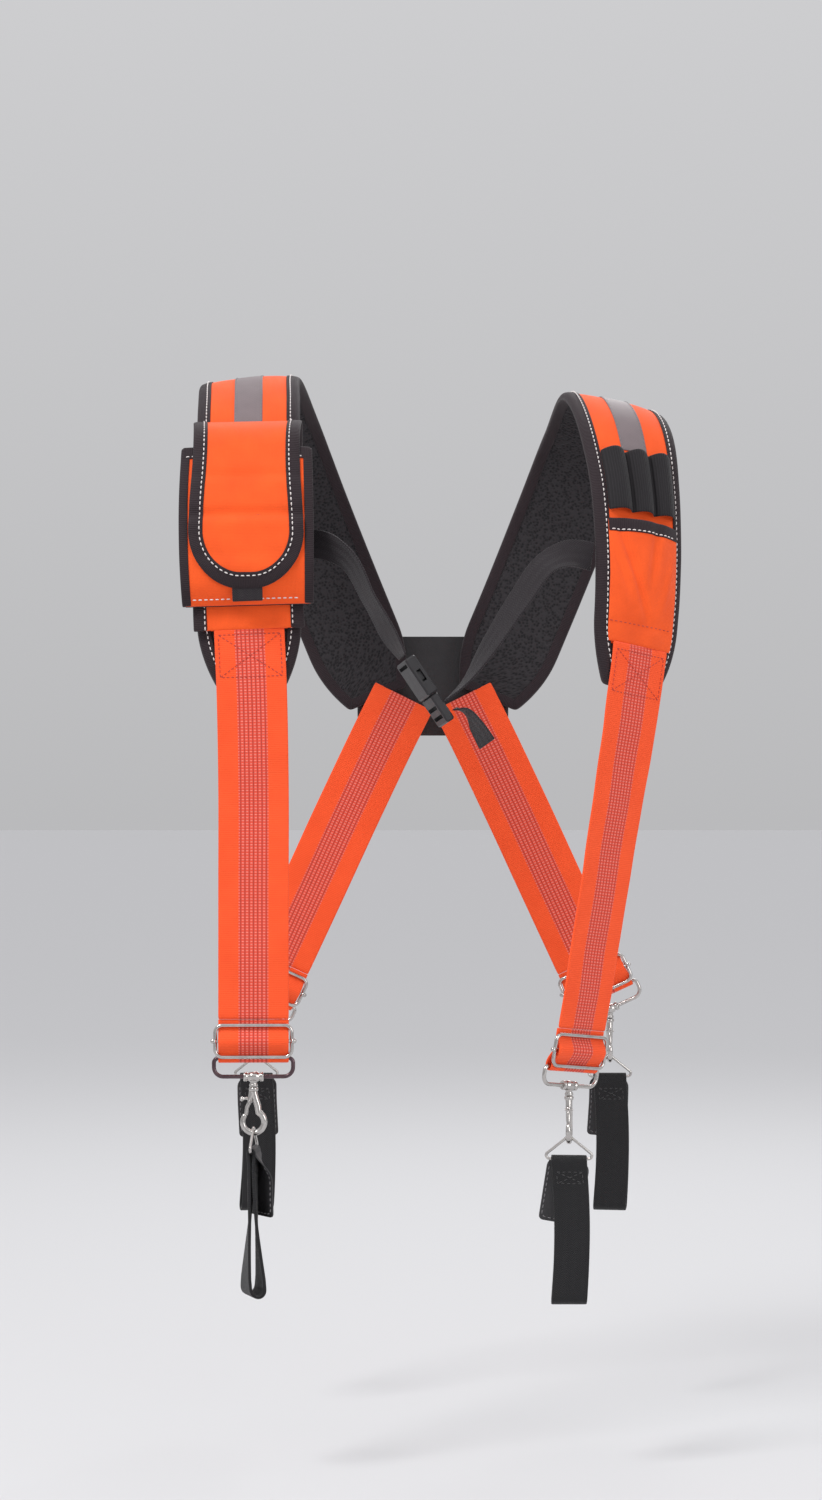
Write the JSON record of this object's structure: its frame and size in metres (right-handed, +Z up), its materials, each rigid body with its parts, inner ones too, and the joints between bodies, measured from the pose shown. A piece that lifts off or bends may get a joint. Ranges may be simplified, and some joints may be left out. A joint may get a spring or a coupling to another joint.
{
  "type": "tool belt suspenders",
  "caption": "Padded high-visibility work suspenders with shoulder pads, phone pouch, tool pocket, pen loops, chest buckle and adjustable hook-on belt loops.",
  "frame": {"origin": "midway between the wearer's shoulders, level with the top of the right shoulder pad", "axes": "+Z up, -Y to the wearer's front, +X to the wearer's left"},
  "size_m": [0.3538, 0.2917, 0.6606],
  "materials": {
    "padding": "black air mesh over foam, bound edges",
    "hi_vis_fabric": "fluorescent orange plain-weave nylon",
    "hi_vis_elastic": "fluorescent orange ribbed elastic with a woven reflective band",
    "reflective_tape": "grey retroreflective, satin",
    "black_elastic": "ribbed elastic",
    "black_webbing": "woven nylon webbing",
    "black_leather": "black grained leather, sewn round the edge",
    "black_plastic": "moulded acetal, satin",
    "plated_steel": "nickel-plated wire and castings"
  },
  "bodies": {
    "harness": {"right_shoulder_pad": "padding", "right_pad_face": "hi_vis_fabric", "right_reflective_tape": "reflective_tape", "left_shoulder_pad": "padding", "left_pad_face": "hi_vis_fabric", "left_reflective_tape": "reflective_tape", "pouch_backing": "hi_vis_fabric", "pouch_shell": "hi_vis_fabric", "pen_loops": "black_elastic", "tool_pocket": "hi_vis_fabric", "back_patch": "black_leather", "right_chest_webbing": "black_webbing", "left_chest_webbing": "black_webbing", "buckle_socket": "black_plastic", "right_front_strap": "hi_vis_elastic", "left_front_strap": "hi_vis_elastic", "right_back_strap": "hi_vis_elastic", "left_back_strap": "hi_vis_elastic"},
    "pouch_flap": {"pouch_flap": "hi_vis_fabric", "flap_pull_tab": "black_webbing"},
    "buckle_plug": {"buckle_plug": "black_plastic", "chest_webbing_tail": "black_webbing"},
    "prong_a": {"buckle_prong_a": "black_plastic"},
    "prong_b": {"buckle_prong_b": "black_plastic"},
    "right_front_adjuster": {"right_front_adjuster": "plated_steel"},
    "right_front_fold": {"right_front_webbing_fold": "hi_vis_elastic"},
    "right_front_loop": {"right_front_wire_loop": "plated_steel", "right_front_swivel_eye": "plated_steel"},
    "right_front_hook": {"right_front_snap_hook": "plated_steel"},
    "right_front_trigger": {"right_front_hook_trigger": "plated_steel"},
    "right_front_belt_loop": {"right_front_tab_ring": "plated_steel", "right_front_leather_tab": "black_leather", "right_front_belt_loop": "black_webbing"},
    "left_front_adjuster": {"left_front_adjuster": "plated_steel"},
    "left_front_fold": {"left_front_webbing_fold": "hi_vis_elastic"},
    "left_front_loop": {"left_front_wire_loop": "plated_steel", "left_front_swivel_eye": "plated_steel"},
    "left_front_hook": {"left_front_snap_hook": "plated_steel"},
    "left_front_trigger": {"left_front_hook_trigger": "plated_steel"},
    "left_front_belt_loop": {"left_front_tab_ring": "plated_steel", "left_front_leather_tab": "black_leather", "left_front_belt_loop": "black_webbing"},
    "right_back_adjuster": {"right_back_adjuster": "plated_steel"},
    "right_back_fold": {"right_back_webbing_fold": "hi_vis_elastic"},
    "right_back_loop": {"right_back_wire_loop": "plated_steel", "right_back_swivel_eye": "plated_steel"},
    "right_back_hook": {"right_back_snap_hook": "plated_steel"},
    "right_back_trigger": {"right_back_hook_trigger": "plated_steel"},
    "right_back_belt_loop": {"right_back_tab_ring": "plated_steel", "right_back_leather_tab": "black_leather", "right_back_belt_loop": "black_webbing"},
    "left_back_adjuster": {"left_back_adjuster": "plated_steel"},
    "left_back_fold": {"left_back_webbing_fold": "hi_vis_elastic"},
    "left_back_loop": {"left_back_wire_loop": "plated_steel", "left_back_swivel_eye": "plated_steel"},
    "left_back_hook": {"left_back_snap_hook": "plated_steel"},
    "left_back_trigger": {"left_back_hook_trigger": "plated_steel"},
    "left_back_belt_loop": {"left_back_tab_ring": "plated_steel", "left_back_leather_tab": "black_leather", "left_back_belt_loop": "black_webbing"}
  },
  "joints": [
    {"name": "flap_opening", "type": "hinge", "parent": "harness", "child": "pouch_flap", "pos_m": [-0.13193, -0.07702, -0.03971], "axis": [-0.9997, -0.0097, -0.0211], "range_deg": [0, 130]},
    {"name": "buckle_release", "type": "slide", "parent": "harness", "child": "buckle_plug", "axis": [0.5561, 0, -0.8311], "range_m": [0, 0.03], "deforming": ["left_chest_webbing"]},
    {"name": "prong_a_squeeze", "type": "hinge", "parent": "buckle_plug", "child": "prong_a", "pos_m": [-0.00293, -0.13917, -0.2318], "axis": [-0.7989, -0.2756, -0.5345], "range_deg": [0, 9], "stiffness_Nm_per_rad": 0.05, "springref_deg": -5.73},
    {"name": "prong_b_squeeze", "type": "hinge", "parent": "buckle_plug", "child": "prong_b", "pos_m": [-0.00682, -0.12283, -0.23441], "axis": [0.7989, 0.2756, 0.5345], "range_deg": [0, 9], "stiffness_Nm_per_rad": 0.05, "springref_deg": -5.73},
    {"name": "right_front_strap_length", "type": "slide", "parent": "harness", "child": "right_front_adjuster", "axis": [0, 0.0001, 1], "range_m": [0, 0.16], "deforming": ["right_front_strap"]},
    {"name": "right_front_fold_travel", "type": "slide", "parent": "right_front_adjuster", "child": "right_front_fold", "axis": [0, 0.0001, 1], "range_m": [-0.08, 0], "deforming": ["right_front_webbing_fold"]},
    {"name": "right_front_loop_swing", "type": "hinge", "parent": "right_front_fold", "child": "right_front_loop", "pos_m": [-0.12627, -0.1177, -0.485], "axis": [0.9994, 0.0349, 0], "range_deg": [-55, 55]},
    {"name": "right_front_hook_swivel", "type": "hinge", "parent": "right_front_loop", "child": "right_front_hook", "pos_m": [-0.12627, -0.1177, -0.498], "axis": [0, 0, 1], "continuous": true},
    {"name": "right_front_trigger_press", "type": "hinge", "parent": "right_front_hook", "child": "right_front_trigger", "pos_m": [-0.12845, -0.11747, -0.5147], "axis": [-0.1045, -0.9945, 0], "range_deg": [0, 24], "stiffness_Nm_per_rad": 0.006, "springref_deg": -17.19},
    {"name": "right_front_belt_loop_swing", "type": "hinge", "parent": "right_front_hook", "child": "right_front_belt_loop", "pos_m": [-0.12627, -0.1177, -0.5371], "axis": [0.9945, -0.1045, 0], "range_deg": [-35, 35]},
    {"name": "left_front_strap_length", "type": "slide", "parent": "harness", "child": "left_front_adjuster", "axis": [0.1585, 0.0001, 0.9874], "range_m": [0, 0.16], "deforming": ["left_front_strap"]},
    {"name": "left_front_fold_travel", "type": "slide", "parent": "left_front_adjuster", "child": "left_front_fold", "axis": [0.1585, 0.0001, 0.9874], "range_m": [-0.08, 0], "deforming": ["left_front_webbing_fold"]},
    {"name": "left_front_loop_swing", "type": "hinge", "parent": "left_front_fold", "child": "left_front_loop", "pos_m": [0.09583, -0.10071, -0.49301], "axis": [0.6937, 0.7116, -0.1114], "range_deg": [-55, 55]},
    {"name": "left_front_hook_swivel", "type": "hinge", "parent": "left_front_loop", "child": "left_front_hook", "pos_m": [0.09377, -0.10071, -0.50585], "axis": [0, 0, 1], "continuous": true},
    {"name": "left_front_trigger_press", "type": "hinge", "parent": "left_front_hook", "child": "left_front_trigger", "pos_m": [0.09354, -0.1029, -0.52255], "axis": [0.9945, -0.1045, 0], "range_deg": [0, 24], "stiffness_Nm_per_rad": 0.006, "springref_deg": -17.19},
    {"name": "left_front_belt_loop_swing", "type": "hinge", "parent": "left_front_hook", "child": "left_front_belt_loop", "pos_m": [0.09377, -0.10071, -0.54495], "axis": [0.1045, 0.9945, 0], "range_deg": [-35, 35]},
    {"name": "right_back_strap_length", "type": "slide", "parent": "harness", "child": "right_back_adjuster", "axis": [0.4225, 0.0453, 0.9053], "range_m": [0, 0.1], "deforming": ["right_back_strap"]},
    {"name": "right_back_fold_travel", "type": "slide", "parent": "right_back_adjuster", "child": "right_back_fold", "axis": [0.4225, 0.0453, 0.9053], "range_m": [-0.05, 0], "deforming": ["right_back_webbing_fold"]},
    {"name": "right_back_loop_swing", "type": "hinge", "parent": "right_back_fold", "child": "right_back_loop", "pos_m": [-0.1291, 0.1206, -0.45648], "axis": [0.8956, 0.1325, -0.4246], "range_deg": [-55, 55]},
    {"name": "right_back_hook_swivel", "type": "hinge", "parent": "right_back_loop", "child": "right_back_hook", "pos_m": [-0.13459, 0.12001, -0.46824], "axis": [0, 0, 1], "continuous": true},
    {"name": "right_back_trigger_press", "type": "hinge", "parent": "right_back_hook", "child": "right_back_trigger", "pos_m": [-0.13459, 0.11781, -0.48494], "axis": [1, 0, 0], "range_deg": [0, 24], "stiffness_Nm_per_rad": 0.006, "springref_deg": -17.19},
    {"name": "right_back_belt_loop_swing", "type": "hinge", "parent": "right_back_hook", "child": "right_back_belt_loop", "pos_m": [-0.13459, 0.12001, -0.50734], "axis": [0, 1, 0], "range_deg": [-35, 35]},
    {"name": "left_back_strap_length", "type": "slide", "parent": "harness", "child": "left_back_adjuster", "axis": [-0.4225, 0.0453, 0.9053], "range_m": [0, 0.1], "deforming": ["left_back_strap"]},
    {"name": "left_back_fold_travel", "type": "slide", "parent": "left_back_adjuster", "child": "left_back_fold", "axis": [-0.4225, 0.0453, 0.9053], "range_m": [-0.05, 0], "deforming": ["left_back_webbing_fold"]},
    {"name": "left_back_loop_swing", "type": "hinge", "parent": "left_back_fold", "child": "left_back_loop", "pos_m": [0.1291, 0.1206, -0.45648], "axis": [0.8956, -0.1325, 0.4246], "range_deg": [-55, 55]},
    {"name": "left_back_hook_swivel", "type": "hinge", "parent": "left_back_loop", "child": "left_back_hook", "pos_m": [0.13459, 0.12001, -0.46824], "axis": [0, 0, 1], "continuous": true},
    {"name": "left_back_trigger_press", "type": "hinge", "parent": "left_back_hook", "child": "left_back_trigger", "pos_m": [0.13459, 0.11781, -0.48494], "axis": [1, 0, 0], "range_deg": [0, 24], "stiffness_Nm_per_rad": 0.006, "springref_deg": -17.19},
    {"name": "left_back_belt_loop_swing", "type": "hinge", "parent": "left_back_hook", "child": "left_back_belt_loop", "pos_m": [0.13459, 0.12001, -0.50734], "axis": [0, 1, 0], "range_deg": [-35, 35]}
  ],
  "couplings": [
    {"joint": "prong_b_squeeze", "follows": "prong_a_squeeze", "ratio": 1},
    {"joint": "right_front_fold_travel", "follows": "right_front_strap_length", "ratio": -0.5},
    {"joint": "left_front_fold_travel", "follows": "left_front_strap_length", "ratio": -0.5},
    {"joint": "right_back_fold_travel", "follows": "right_back_strap_length", "ratio": -0.5},
    {"joint": "left_back_fold_travel", "follows": "left_back_strap_length", "ratio": -0.5}
  ]
}
